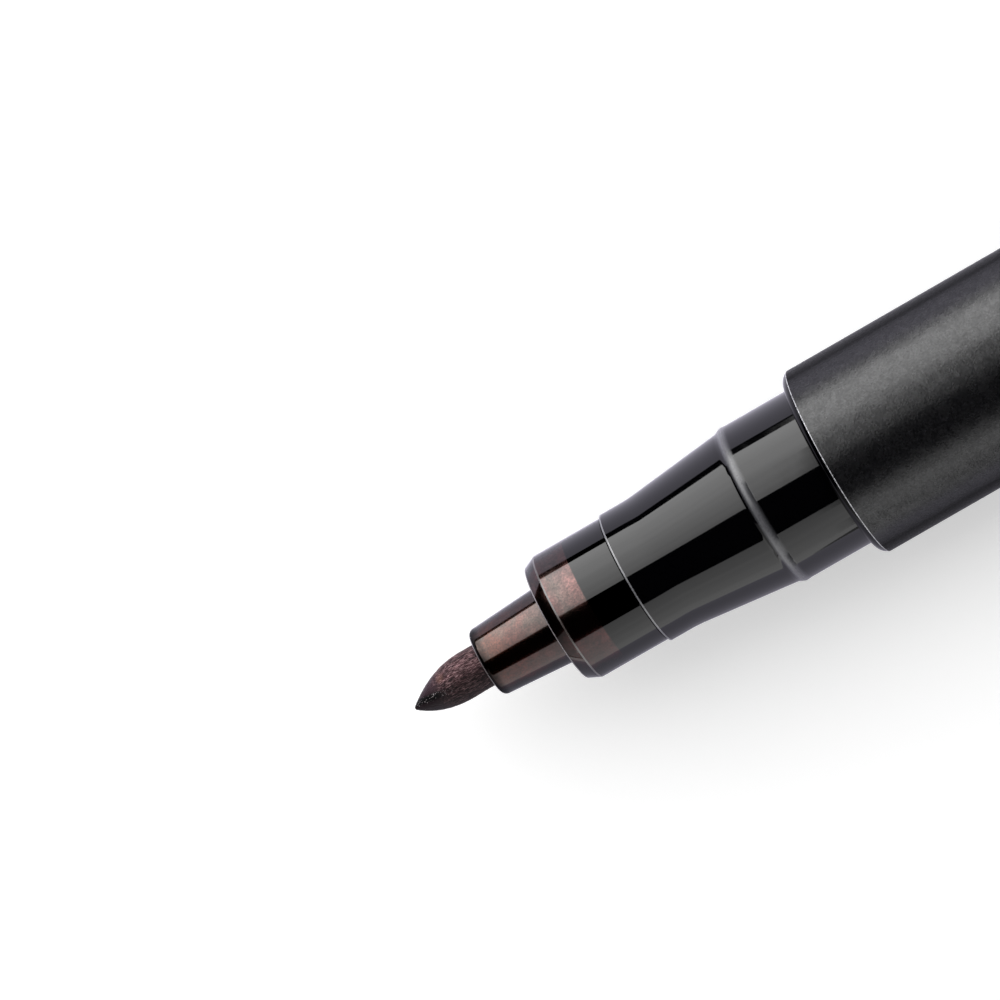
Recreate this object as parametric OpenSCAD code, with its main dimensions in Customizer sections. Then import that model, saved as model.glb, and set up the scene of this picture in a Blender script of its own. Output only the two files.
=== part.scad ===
// Brush pen with a bonded-fibre point, lying on its side with its cap posted on the rear end.
// The pen's axis runs along X: the point looks towards -X, the posted cap is at +X.
// Stations along the axis are counted from the barrel's front end, towards the cap.

/* [Barrel] */
// Outer diameter of the barrel and the cap
barrel_d = 11; // [10.6:0.1:13]
// Length of the barrel tube
barrel_len = 92; // [70:1:120]
// Wall of the barrel tube
barrel_wall = 0.95; // [0.7:0.05:1.1]
// Number of ribs that centre the reservoir
rib_count = 6; // [3:1:8]
// Thickness of one rib
rib_t = 0.8; // [0.5:0.1:1.2]

/* [Grip section] */
// Thickness of the collar against the barrel's front end
collar_t = 0.45; // [0.4:0.05:1.2]
// How far the collar's rim stays under the barrel's surface
collar_drop = 0.03; // [0:0.01:0.1]
// Rounding of the collar's front edge
collar_round = 0.35; // [0.1:0.05:0.4]
// Diameter of the seat that the cap grips
seat_d = 9.24; // [8.8:0.02:9.6]
// Length of the cap seat
seat_len = 4.1; // [3:0.1:6]
// Rounding of the cap seat's front shoulder
seat_round = 0.3; // [0.1:0.05:0.5]
// Height of the shoulder between the flare and the cap seat
seat_step = 0.09; // [0.05:0.01:0.2]
// Length of the flare in front of the cap seat
flare_len = 6.3; // [4:0.1:9]
// Radius that blends the flare into the land
flare_blend = 8; // [3:0.5:12]
// Diameter of the land at the section's front end
land_d = 7.66; // [7.5:0.02:8.2]
// Length of the land
land_len = 1.65; // [1.2:0.05:3]
// Length of the spigot inside the barrel
spigot_len = 9; // [6:0.5:14]
// Length of the relief groove at the spigot's root, which lets the barrel seat on the collar
relief_len = 0.4; // [0.2:0.1:1]
// Depth of that groove
relief_depth = 0.2; // [0.16:0.02:0.3]

/* [Nib holder] */
// Diameter of the holder's shoulder
shoulder_d = 7.37; // [7.1:0.01:7.45]
// Length of the shoulder
shoulder_len = 4.9; // [3.8:0.1:7]
// Length of the shoulder's front chamfer
chamfer_len = 0.72; // [0.3:0.02:1]
// Depth of the shoulder's front chamfer
chamfer_drop = 0.33; // [0.15:0.01:0.6]
// Length of the nozzle
nozzle_len = 4.38; // [3:0.02:7]
// Diameter of the nozzle at its mouth
nozzle_tip_d = 3.84; // [3.7:0.02:4.2]
// Diameter of the nozzle at its root
nozzle_root_d = 4.5; // [4.3:0.05:5.2]
// Rounding of the nozzle's mouth
nozzle_round = 0.45; // [0.2:0.05:0.5]
// Thickness of the solid wall behind the shoulder's front face
front_wall = 2.55; // [1:0.05:3]
// Diameter of the plug that holds the nib holder in the grip section
holder_plug_d = 6.4; // [6:0.05:6.5]
// Length of that plug
holder_plug_len = 5; // [3:0.1:6]
// Diameter of the hollow inside the holder
hollow_d = 5.2; // [4.4:0.1:5.4]
// Number of air channels along the nib
vent_count = 4; // [2:1:6]
// Width of one air channel
vent_w = 0.5; // [0.3:0.05:0.7]
// Depth of one air channel
vent_depth = 0.25; // [0.1:0.05:0.3]

/* [Nib] */
// Diameter of the nib
nib_d = 2.42; // [2:0.02:2.5]
// Length of nib that stands out of the nozzle
nib_out = 4.49; // [4.2:0.01:6]
// Radius of the point's curved flank, seen from the side
point_arc = 5.17; // [3.5:0.01:6]
// Radius of the rounded tip
tip_r = 0.15; // [0.08:0.01:0.3]
// Whole length of the nib
nib_len = 34; // [32:0.5:44]
// Length of the nib's tapered tail
tail_len = 4; // [2:0.5:6]
// Diameter at the end of the tail
tail_d = 1.2; // [0.6:0.1:1.8]

/* [Reservoir] */
// Diameter of the fibre core that holds the ink
core_d = 6.9; // [6:0.1:7.1]
// Thickness of the film round the core
film_t = 0.1; // [0.05:0.01:0.2]

/* [End plug] */
// Length of the plug inside the barrel
plug_len = 8; // [5:0.5:14]
// Wall of the hollow plug
plug_wall = 0.9; // [0.7:0.05:1.2]
// Length of the post that carries the cap
post_len = 12; // [9:0.5:12.5]
// Rounding of the post's end
post_round = 0.8; // [0.3:0.1:1.5]

/* [Cap] */
// Length of the cap's shell
cap_len = 37; // [36:0.5:46]
// Rounding of the rim at the cap's mouth
rim_round = 0.25; // [0.1:0.05:0.4]
// Rounding of the cap's closed end
cap_end_round = 0.7; // [0.3:0.05:0.9]
// Thickness of the cap's end wall
cap_end_wall = 1.4; // [1:0.1:2]
// How far the cap's snap bead stands into its bore
bead_h = 0.15; // [0.05:0.01:0.2]
// Depth of the liner's mouth inside the cap
liner_depth = 13; // [12.8:0.1:13.5]
// Wall of the liner
liner_wall = 0.5; // [0.4:0.05:0.7]
// Depth of the liner's hollow
liner_hollow = 15.5; // [14.5:0.1:17]
// Diameter of the liner's inner chamber
chamber_d = 6.2; // [6:0.1:7]

/* [Clip and button] */
// Width of the clip at its root
clip_w = 4.2; // [3:0.1:5]
// Width of the clip at its tip
clip_tip_w = 3.4; // [2.5:0.1:4]
// Thickness of the clip
clip_t = 0.9; // [0.7:0.05:1.2]
// Gap between the clip and the cap
clip_gap = 1.3; // [1:0.05:2]
// Length of the clip's arm
clip_len = 30; // [22:0.5:32]
// Radius of the clip's outer bend
clip_bend = 1.6; // [1.2:0.1:2]
// Radius of the bump under the clip's tip
clip_bump_r = 1.3; // [1.1:0.1:1.8]
// Diameter of the button on the cap's end
button_d = 8.6; // [8:0.1:9]
// Thickness of the button
button_t = 1.3; // [1:0.1:2]
// How far the button is sunk into the cap's end
button_sunk = 0.6; // [0.3:0.1:0.8]
// Diameter of the button's stem
stem_d = 3; // [2.4:0.1:3.4]
// Length of the button's stem inside the liner
stem_grip = 3; // [2:0.1:4]

/* [Fits] */
// Gap on each side of pieces that are pressed together
press_gap = 0.02; // [0.01:0.01:0.04]
// Gap on each side between the cap and what it slides on
slide_gap = 0.06; // [0.03:0.01:0.1]
// Seam between the posted cap's rim and the barrel
seam = 0.1; // [0.05:0.05:0.3]
// Rounding of sharp moulded edges
edge = 0.06; // [0.03:0.01:0.1]

/* [Hidden] */
$fn = 72;
slack = 1;

barrel_r = barrel_d / 2;
bore_r = barrel_r - barrel_wall;
spigot_r = bore_r - press_gap;
collar_r = barrel_r - collar_drop;
seat_r = seat_d / 2;
land_r = land_d / 2;
shoulder_r = shoulder_d / 2;
holder_plug_r = holder_plug_d / 2;
socket_r = holder_plug_r + press_gap;
nib_r = nib_d / 2;
nib_bore_r = nib_r + press_gap;
core_r = core_d / 2;
film_r = core_r + press_gap + film_t;
nest_r = film_r + press_gap;

// Stations of the front end
collar_front = -collar_t;
seat_front = collar_front - seat_len;
flare_front = seat_front - flare_len;
land_front = flare_front - land_len;
shoulder_front = land_front - shoulder_len;
nozzle_front = shoulder_front - nozzle_len;
nib_front = nozzle_front - nib_out;
hollow_front = shoulder_front + front_wall;
nest_front = seat_front;

// Lean of the flare and the nozzle against the axis
flare_lean = atan((seat_r - seat_step - land_r) / flare_len);
nozzle_lean = atan((nozzle_root_d - nozzle_tip_d) / 2 / nozzle_len);

// Nib: where the point begins, and where its flank meets the rounded tip
tip_centre = nib_front + tip_r;
point_base = tip_centre + sqrt(pow(point_arc - tip_r, 2) - pow(point_arc - nib_r, 2));
flank_turn = atan((point_base - tip_centre) / (point_arc - nib_r));
flank_end = point_base - point_arc * sin(flank_turn);
nib_rear = nib_front + nib_len;

// Reservoir, from the grip section's nest to the end plug
core_front = nest_front + press_gap;
core_rear = barrel_len - plug_len - press_gap;

// Posted cap and the pieces on it
cap_front = barrel_len + seam;
cap_rear = cap_front + cap_len;
cap_bore_r = seat_r + slide_gap;
bead_r = 0.3;
bead_at = cap_front + seat_len + bead_r + seat_round;
post_r = cap_bore_r - bead_h - slide_gap;
post_rear = barrel_len + post_len;
recess_floor = cap_rear - button_sunk - clip_t - press_gap;
bore_end = recess_floor - cap_end_wall;
liner_front = cap_front + liner_depth;
liner_out_r = shoulder_r + press_gap + liner_wall;
chamber_front = liner_front + shoulder_len;
chamber_end = liner_front + liner_hollow;
flange_len = 2.4;
stem_r = stem_d / 2;
button_r = button_d / 2;
button_front = recess_floor + clip_t + press_gap;
button_rear = button_front + button_t;
clip_in = barrel_r + clip_gap;
clip_out = clip_in + clip_t;
clip_tip = recess_floor + clip_t - clip_len;
bump_gap = 0.15;

pen_middle = (nib_front + button_rear) / 2;

matte_black = [0.09, 0.09, 0.1];
gloss_black = [0.03, 0.03, 0.035];
smoke_brown = [0.2, 0.14, 0.12];
fibre_brown = [0.22, 0.15, 0.15];
ink_black = [0.12, 0.1, 0.12];
film_clear = [0.75, 0.76, 0.78];
liner_grey = [0.7, 0.7, 0.7];

// Lays the axis along X at the height of the barrel's radius, with local x upwards.
module lay() translate([-pen_middle, 0, barrel_r]) rotate([0, 90, 0]) rotate(180) children();

// Turns a half profile, with the radius along x and the station along y, into a laid piece.
module turned() lay() rotate_extrude() children();

module band(r, from, to, r_in = 0) translate([r_in, from]) square([r - r_in, to - from]);

module taper(r_from, from, r_to, to) polygon([[0, from], [r_from, from], [r_to, to], [0, to]]);

// What is cut away to round an outer edge of radius f, at radius r and station u.
// into is 1 where the piece lies towards +u of the edge, else -1. The flank widens by lean.
module edge_cut(r, u, f, into = 1, lean = 0) {
    centre = [r + f * tan(lean) - f / cos(lean), u + into * f];
    flank = [cos(lean), -into * sin(lean)];
    difference() {
        polygon([centre, centre + f * flank, centre + (f + slack) * flank,
                 [r + slack, u - into * slack], [centre.x, u - into * slack]]);
        translate(centre) circle(f);
    }
}

module barrel() color(matte_black) {
    rib_in = nest_r;
    union() {
        turned() difference() {
            band(barrel_r, 0, barrel_len, bore_r);
            edge_cut(barrel_r, 0, edge);
            edge_cut(barrel_r, barrel_len, rim_round, -1);
        }
        lay() for (i = [0 : rib_count - 1]) rotate((i + 0.5) * 360 / rib_count)
            translate([rib_in, -rib_t / 2, spigot_len + press_gap])
                cube([bore_r + barrel_wall / 2 - rib_in, rib_t, core_rear - spigot_len - press_gap]);
    }
}

// Half profile of the land and the flare, with the blend between them.
module flare() {
    reach = flare_blend * tan(flare_lean / 2);
    blend_front = flare_front - reach;
    blend_rear = [land_r, flare_front] + reach * [sin(flare_lean), cos(flare_lean)];
    difference() {
        polygon([[0, land_front], [land_r, land_front], [land_r, blend_front], blend_rear,
                 [seat_r - seat_step, seat_front], [0, seat_front]]);
        translate([land_r + flare_blend, blend_front]) circle(flare_blend);
        edge_cut(land_r, land_front, edge);
    }
}

module grip_section() color(gloss_black) turned() difference() {
    union() {
        flare();
        difference() {
            band(seat_r, seat_front, collar_front);
            edge_cut(seat_r, seat_front, seat_round);
        }
        difference() {
            band(collar_r, collar_front, 0);
            edge_cut(collar_r, collar_front, collar_round);
        }
        band(spigot_r, 0, spigot_len);
    }
    band(socket_r, land_front - slack, nest_front);
    band(nest_r, nest_front, spigot_len + slack);
    band(spigot_r + slack, 0, relief_len, spigot_r - relief_depth);
    edge_cut(spigot_r, spigot_len, edge, -1);
}

module nib_holder() color(smoke_brown) difference() {
    turned() difference() {
        union() {
            difference() {
                taper(nozzle_tip_d / 2, nozzle_front, nozzle_root_d / 2, shoulder_front);
                edge_cut(nozzle_tip_d / 2, nozzle_front, nozzle_round, 1, nozzle_lean);
            }
            taper(shoulder_r - chamfer_drop, shoulder_front, shoulder_r, shoulder_front + chamfer_len);
            band(shoulder_r, shoulder_front + chamfer_len, land_front);
            band(holder_plug_r, land_front, land_front + holder_plug_len);
        }
        band(nib_bore_r, nozzle_front - slack, hollow_front);
        band(hollow_d / 2, hollow_front, land_front + holder_plug_len + slack);
        edge_cut(holder_plug_r, land_front + holder_plug_len, edge, -1);
    }
    lay() for (i = [0 : vent_count - 1]) rotate(i * 360 / vent_count)
        translate([0, -vent_w / 2, nozzle_front - slack])
            cube([nib_bore_r + vent_depth, vent_w, hollow_front - nozzle_front + 2 * slack]);
}

module brush_nib() color(fibre_brown) turned() {
    difference() {
        union() {
            band(nib_r, flank_end, nib_rear - tail_len);
            taper(nib_r, nib_rear - tail_len, tail_d / 2, nib_rear);
        }
        difference() {
            band(nib_r + slack, flank_end - slack, point_base);
            translate([nib_r - point_arc, point_base]) circle(point_arc);
        }
    }
    intersection() {
        translate([0, tip_centre]) circle(tip_r);
        band(nib_r, nib_front - slack, flank_end);
    }
}

module reservoir_core() color(ink_black) turned() difference() {
    band(core_r, core_front, core_rear);
    band(nib_bore_r, core_front - slack, nib_rear - tail_len);
    taper(nib_bore_r, nib_rear - tail_len, tail_d / 2 + press_gap, nib_rear + press_gap);
}

module reservoir_film() color(film_clear) turned()
    band(film_r, core_front, core_rear, core_r + press_gap);

module end_plug() color(ink_black) turned() difference() {
    union() {
        band(spigot_r, barrel_len - plug_len, barrel_len);
        difference() {
            band(post_r, barrel_len, post_rear);
            edge_cut(post_r, post_rear, post_round, -1);
        }
    }
    band(post_r - plug_wall, barrel_len - plug_len - slack, post_rear - plug_wall);
    edge_cut(spigot_r, barrel_len - plug_len, edge);
}

module cap_shell() color(matte_black) difference() {
    turned() {
        difference() {
            band(barrel_r, cap_front, cap_rear);
            edge_cut(barrel_r, cap_front, rim_round);
            edge_cut(barrel_r, cap_rear, cap_end_round, -1);
            band(cap_bore_r, cap_front - slack, bore_end);
            band(stem_r + press_gap, bore_end - slack, cap_rear + slack);
            band(button_r + press_gap, recess_floor, cap_rear + slack);
        }
        translate([cap_bore_r + bead_r - bead_h, bead_at]) circle(bead_r);
    }
    lay() translate([0, -clip_w / 2 - press_gap, recess_floor])
        cube([barrel_r + slack, clip_w + 2 * press_gap, cap_rear - recess_floor + slack]);
}

module cap_liner() color(liner_grey) turned() difference() {
    union() {
        band(cap_bore_r - press_gap, liner_front, liner_front + flange_len);
        band(liner_out_r, liner_front, chamber_end + liner_wall);
        band(stem_r + press_gap + liner_wall, chamber_end, bore_end - press_gap);
    }
    band(shoulder_r + press_gap, liner_front - slack, chamber_front);
    band(chamber_d / 2, chamber_front, chamber_end);
    band(stem_r + press_gap, bore_end - stem_grip - press_gap, bore_end + slack);
}

module clip_side() {
    bump_at = [barrel_r + bump_gap + clip_bump_r, clip_tip + clip_bump_r];
    tongue_rear = recess_floor + clip_t;
    tongue_in = -stem_r - press_gap - clip_t;
    translate([tongue_in, recess_floor]) square([clip_out - clip_bend - tongue_in, clip_t]);
    translate([clip_in, clip_tip + clip_bump_r]) square([clip_t, clip_len - clip_bump_r - clip_bend]);
    intersection() {
        translate([clip_out - clip_bend, tongue_rear - clip_bend]) difference() {
            circle(clip_bend);
            circle(clip_bend - clip_t);
        }
        translate([clip_out - clip_bend, tongue_rear - clip_bend]) square(clip_bend);
    }
    intersection() {
        translate(bump_at) circle(clip_bump_r);
        translate([barrel_r, clip_tip]) square([clip_out - barrel_r, 2 * clip_bump_r]);
    }
}

module cap_clip() color(matte_black) lay() difference() {
    intersection() {
        rotate([90, 0, 0]) linear_extrude(clip_w + 2 * slack, center = true) clip_side();
        rotate([0, 90, 0]) rotate(90) linear_extrude(2 * clip_out + slack, center = true)
            polygon([[-clip_tip_w / 2, clip_tip], [clip_tip_w / 2, clip_tip],
                     [clip_w / 2, recess_floor], [clip_w / 2, recess_floor + clip_t],
                     [-clip_w / 2, recess_floor + clip_t], [-clip_w / 2, recess_floor]]);
    }
    translate([0, 0, recess_floor - slack]) cylinder(r = stem_r + press_gap, h = clip_t + 2 * slack);
}

module cap_button() color(ink_black) turned() {
    difference() {
        band(button_r, button_front, button_rear);
        edge_cut(button_r, button_rear, (button_t - button_sunk) / 2, -1);
    }
    band(stem_r, bore_end - stem_grip, button_front);
}

barrel();
grip_section();
nib_holder();
brush_nib();
reservoir_core();
reservoir_film();
end_plug();
cap_shell();
cap_liner();
cap_clip();
cap_button();
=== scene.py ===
import bpy
import bmesh
from math import pi, radians, degrees, sin, cos, tan, atan, atan2, sqrt
from mathutils import Matrix, Vector


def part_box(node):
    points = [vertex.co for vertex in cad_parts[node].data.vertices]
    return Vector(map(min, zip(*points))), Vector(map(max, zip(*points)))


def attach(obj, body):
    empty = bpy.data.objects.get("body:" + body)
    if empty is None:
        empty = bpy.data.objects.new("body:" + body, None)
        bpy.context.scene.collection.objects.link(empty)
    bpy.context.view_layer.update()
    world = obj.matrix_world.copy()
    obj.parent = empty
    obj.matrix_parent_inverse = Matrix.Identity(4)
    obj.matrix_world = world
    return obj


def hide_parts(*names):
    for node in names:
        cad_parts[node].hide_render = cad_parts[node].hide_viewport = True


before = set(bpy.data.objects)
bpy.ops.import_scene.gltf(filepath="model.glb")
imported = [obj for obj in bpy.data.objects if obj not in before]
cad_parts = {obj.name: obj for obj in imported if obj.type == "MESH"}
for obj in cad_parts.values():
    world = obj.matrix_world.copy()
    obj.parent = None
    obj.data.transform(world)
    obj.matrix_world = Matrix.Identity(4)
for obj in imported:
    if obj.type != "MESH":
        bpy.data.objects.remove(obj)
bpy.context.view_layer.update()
scene = bpy.context.scene
mm = 0.001

barrelLow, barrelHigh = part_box("barrel")
frontX = barrelLow.x                            # barrel's front edge, where every station is counted from
axisZ = (barrelLow.z + barrelHigh.z) / 2
barrelR = (barrelHigh.z - barrelLow.z) / 2 / mm


def at(station):                                # mm behind the barrel's front edge -> x in the frame
    return frontX + station * mm


def endsOf(node):                               # stations of a CAD node's front and rear end
    low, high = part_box(node)
    return (low.x - frontX) / mm, (high.x - frontX) / mm


def pickOnly(*pieces):                          # nothing picked: whatever is added next stands alone
    bpy.ops.object.select_all(action="DESELECT")
    for piece in pieces:
        piece.select_set(True)
        bpy.context.view_layer.objects.active = piece


# camera: looks down on the lying pen, leaning a little towards its rear end, through a long lens
view = dict(
    turn=29.96,                                 # degrees that the pen's axis rises to the right in the picture
    lean=7.9,                                   # degrees that the camera leans towards the rear end
    aimStation=-16.74,
    aimSide=7.16,
    frameWidth=53.08,                           # mm across the picture, at the pen's axis
    distance=900.0,
    sensor=36,
    clip=(0.05, 20),                            # m
)

lean, turn = radians(view["lean"]), radians(view["turn"])
alongPen = Vector((cos(lean), 0, -sin(lean)))   # the pen's axis as the camera sees it
acrossPen = Vector((0, 1, 0))
towardsCamera = Vector((sin(lean), 0, cos(lean)))
pictureRight = alongPen * cos(turn) - acrossPen * sin(turn)
pictureUp = alongPen * sin(turn) + acrossPen * cos(turn)
aim = Vector((at(view["aimStation"]), view["aimSide"] * mm, axisZ))

pickOnly()
bpy.ops.object.camera_add()
camera = bpy.context.object
camera.name = "photoCamera"
camera.matrix_world = Matrix.Translation(aim + towardsCamera * view["distance"] * mm) @ Matrix(
    (pictureRight, pictureUp, towardsCamera)).transposed().to_4x4()
camera.data.sensor_width = view["sensor"]
camera.data.lens = view["sensor"] * view["distance"] / view["frameWidth"]
camera.data.clip_start, camera.data.clip_end = view["clip"]
scene.camera = camera
scene.view_settings.view_transform = "Standard"
print("camera ready, lens", round(camera.data.lens), "mm")


# materials
noiseSpan = (0.3, 0.7)                          # nearly all of a noise's values lie between these


def linear(hexColour, scale=1.0):               # sRGB hex -> linear colour
    parts = [int(hexColour[i:i + 2], 16) / 255 for i in (1, 3, 5)]
    return tuple(scale * (p / 12.92 if p <= 0.04045 else ((p + 0.055) / 1.055) ** 2.4) for p in parts) + (1.0,)


def per(size):                                  # scale of a pattern whose real size is given in mm
    return 1 / (size * mm)


def addNode(tree, kind, inputs=(), **settings):
    # inputs: values in the order of the sockets, or socket -> value; a node stands for its first output in use
    made = tree.nodes.new("ShaderNode" + kind)
    for name, value in settings.items():
        setattr(made, name, value)
    for socket, value in inputs.items() if isinstance(inputs, dict) else enumerate(inputs):
        if isinstance(value, bpy.types.Node):
            value = next(output for output in value.outputs if output.enabled)
        if isinstance(value, bpy.types.NodeSocket):
            tree.links.new(value, made.inputs[socket])
        else:
            made.inputs[socket].default_value = value
    return made


def emptyTree(owner):                           # node tree of a material or a world, with nothing in it
    owner.use_nodes = True
    owner.node_tree.nodes.clear()
    return owner.node_tree


def newMaterial(name):                          # gives the material, its node tree and the place on the object
    made = bpy.data.materials.new(name)
    tree = emptyTree(made)
    return made, tree, addNode(tree, "TexCoord").outputs["Object"]


def setStops(ramp, stops):                      # stops: position -> linear colour
    elements = ramp.color_ramp.elements
    while len(elements) < len(stops):
        elements.new(1.0)
    for element, (position, colour) in zip(elements, sorted(stops.items())):
        element.position = position
        element.color = colour
    return ramp


def grainedPolypropylene():
    # polypropylene moulded in a spark-eroded tool: a fine dull grain that spreads the light softly and speckles it,
    # shades itself towards the edges and holds a few pale specks of dust; the grain is drawn coarse enough to show
    look = dict(
        dark="#020203", pale="#161619", toneSpan=(0.4, 0.75), dust="#3a3a3e", grain=0.11, depth=0.01, patch=0.45,
        dustSize=0.16, dustSpan=(0.74, 0.82), rough=(0.24, 0.3), gloss=(0.5, 0.004), glossSpan=(0.3, 0.62),
        speckle=(0.66, 1.34), speckleSpan=(0.32, 0.68), patchShare=0.4, sheen=0.17, sheenTint="#f6f3ff")
    material, tree, where = newMaterial("grained black polypropylene")
    grain = addNode(tree, "TexNoise", {"Vector": where, "Scale": per(look["grain"]), "Detail": 2.0, "Roughness": 0.6})
    patch = addNode(tree, "TexNoise", {"Vector": where, "Scale": per(look["patch"]), "Detail": 3.0})
    dust = addNode(tree, "TexNoise", {"Vector": where, "Scale": per(look["dustSize"]), "Detail": 1.0})
    tone = setStops(addNode(tree, "ValToRGB", [grain]),
                    dict(zip(look["toneSpan"], (linear(look["dark"]), linear(look["pale"])))))
    dusty = addNode(tree, "MapRange", (dust, *look["dustSpan"]))
    colour = addNode(tree, "Mix", {"Factor": dusty, 6: tone, 7: linear(look["dust"])}, data_type="RGBA")
    rough = addNode(tree, "MapRange", (patch, *noiseSpan, *look["rough"]))
    bump = addNode(tree, "Bump", {"Height": grain, "Strength": 1.0, "Distance": look["depth"] * mm})
    facing = addNode(tree, "LayerWeight", {"Blend": 0.5}).outputs["Facing"]
    gloss = addNode(tree, "MapRange", (facing, *look["glossSpan"], *look["gloss"]), interpolation_type="SMOOTHSTEP")
    both = addNode(tree, "Mix", {"Factor": look["patchShare"], 2: grain, 3: patch})
    speckle = addNode(tree, "MapRange", (both, *look["speckleSpan"], *look["speckle"]))
    spotted = addNode(tree, "Math", (gloss, speckle), operation="MULTIPLY")
    shader = addNode(tree, "BsdfPrincipled", {
        "Base Color": colour, "Roughness": rough, "IOR": 1.55, "Specular IOR Level": spotted, "Normal": bump,
        "Sheen Weight": look["sheen"], "Sheen Roughness": 0.4, "Sheen Tint": linear(look["sheenTint"])})
    addNode(tree, "OutputMaterial", [shader])
    return material


def polishedStyrene(name, paleMark=None, shine=0.5):
    # styrene moulded in a polished tool: a deep black mirror, a little wavy where the wall has sunk,
    # and dulled in the ring where the cap rubs, which is also painted pale grey as a painted highlight over the bead
    # (stations where that ring starts, is full and ends)
    look = dict(colour="#020203", paleBand="#58585c", sink=2.6, depth=0.0012, smudge=1.1, rough=(0.03, 0.06),
                bandRough=0.34, specks=0.1, bandShare=(0.75, 1.0))
    material, tree, where = newMaterial(name)
    sink = addNode(tree, "TexNoise", {"Vector": where, "Scale": per(look["sink"]), "Detail": 1.0})
    smudge = addNode(tree, "TexNoise", {"Vector": where, "Scale": per(look["smudge"]), "Detail": 4.0})
    rough = addNode(tree, "MapRange", (smudge, *noiseSpan, *look["rough"]))
    bump = addNode(tree, "Bump", {"Height": sink, "Strength": 0.5, "Distance": look["depth"] * mm})
    sockets = {"Base Color": linear(look["colour"]), "Roughness": rough, "Normal": bump, "IOR": 1.5,
               "Specular IOR Level": shine}
    # the ring's pale grey is a painted highlight; its coat and roughness dull it where the cap rubs
    if paleMark:
        along = addNode(tree, "SeparateXYZ", [where]).outputs["X"]
        specks = addNode(tree, "TexNoise", {"Vector": where, "Scale": per(look["specks"]), "Detail": 2.0})
        paleBand = addNode(tree, "MapRange", (specks, *noiseSpan, *look["bandShare"]))
        for clean, full in (paleMark[:2], paleMark[:1:-1]):
            edge = addNode(tree, "MapRange", (along, at(clean), at(full)), interpolation_type="SMOOTHSTEP")
            paleBand = addNode(tree, "Math", (paleBand, edge), operation="MULTIPLY")
        tone = addNode(tree, "Mix", {"Factor": paleBand, 6: linear(look["colour"]), 7: linear(look["paleBand"])},
                       data_type="RGBA")
        dull = addNode(tree, "MapRange", (paleBand, 0.0, 1.0, rough, look["bandRough"]))
        sockets.update({"Base Color": tone, "Roughness": dull, "Coat Weight": paleBand,
                        "Coat Roughness": look["bandRough"]})
    shader = addNode(tree, "BsdfPrincipled", sockets)
    addNode(tree, "OutputMaterial", [shader])
    return material


def smokeStyrene(mouth, solidEnd):
    # smoke-brown clear styrene: the polished face mirrors white light, and the inner wall behind it sends back
    # a second, brown reflection, clouded by stains of ink and painted with shade by side; behind the solid front
    # (solidEnd) the hollow looks black
    look = dict(
        tones={0.1: "#0b0c0d", 0.75: "#482a1f", 2.2: "#4a2c26", 4.3: "#3c302c", 5.1: "#593c39", 5.7: "#4a3b37",
               6.6: "#563b38"},                 # at so many mm behind the mouth
        tonesEnd=6.7, black="#010101", olive="#3a352f", oliveSpan=(0.48, 0.68), oliveMost=0.55,
        rosy="#ffd0d6", rosyFrom=-1.2,          # painted shade: mm below the axis where the lower side is painted reddest
        cloud=0.5, cloudShade=(0.65, 1.35), marks=0.1, markShade=(0.55, 1.45), tint=0.9, waver=0.4, edge=0.03,
        paintedSideShades=((-2.6, 1.2, 0.24, 1.1), (1.0, 2.6, 1.0, 0.62)),   # painted shade: mm to the side from and to, and the shade painted there
        inkEdge=(0.12, 0.62), inkShine=0.2,     # ink that dried behind the mouth dulls the polish there
        mirrorTint="#959595")
    material, tree, where = newMaterial("smoke brown styrene")
    place = addNode(tree, "SeparateXYZ", [where]).outputs
    cloud, marks, tint = [
        addNode(tree, "TexNoise", {"Vector": where, "Scale": per(look[size]), "Detail": detail})
        for size, detail in (("cloud", 3.0), ("marks", 2.0), ("tint", 2.0))]
    waver = addNode(tree, "Math", (cloud, look["waver"] * mm, place["X"]), operation="MULTIPLY_ADD")
    half = look["waver"] / 2 * mm
    depth = addNode(tree, "MapRange", (waver, at(mouth) + half, at(mouth + look["tonesEnd"]) + half))
    tone = setStops(addNode(tree, "ValToRGB", [depth]),
                    {station / look["tonesEnd"]: linear(colour) for station, colour in look["tones"].items()})
    stain = addNode(tree, "MapRange", (tint, *look["oliveSpan"], 0.0, look["oliveMost"]))
    stained = addNode(tree, "Mix", {"Factor": stain, 6: tone, 7: linear(look["olive"])}, data_type="RGBA")
    shades = [(cloud, *noiseSpan, *look["cloudShade"]), (marks, *noiseSpan, *look["markShade"])]
    for low, high, *shade in look["paintedSideShades"]:   # painted shade: brightest on the upper side, but not at its edge
        shades.append((place["Y"], low * mm, high * mm, *shade))
    for shade in shades:
        stained = addNode(tree, "VectorMath", {0: stained, "Scale": addNode(tree, "MapRange", shade)},
                          operation="SCALE")
    # painted shade: the lower side is tinted redder
    lower = addNode(tree, "MapRange", (place["Y"], look["rosyFrom"] * mm, 0.0, 1.0, 0.0))
    stained = addNode(tree, "Mix", {"Factor": lower, 6: stained, 7: linear(look["rosy"])},
                      data_type="RGBA", blend_type="MULTIPLY")
    hollow = addNode(tree, "MapRange", (place["X"], at(solidEnd - look["edge"]), at(solidEnd + look["edge"])))
    seen = addNode(tree, "Mix", {"Factor": hollow, 6: stained, 7: linear(look["black"])}, data_type="RGBA")
    inky, clean = look["inkEdge"]
    shine = addNode(tree, "MapRange", (waver, at(mouth + inky) + half, at(mouth + clean) + half, look["inkShine"]))
    shader = addNode(tree, "BsdfPrincipled", {
        "Base Color": seen, "Metallic": 1.0, "Roughness": 0.16, "Specular Tint": linear(look["mirrorTint"]),
        "Coat Weight": shine, "Coat Roughness": 0.03, "Coat IOR": 1.5})
    addNode(tree, "OutputMaterial", [shader])
    return material


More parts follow.
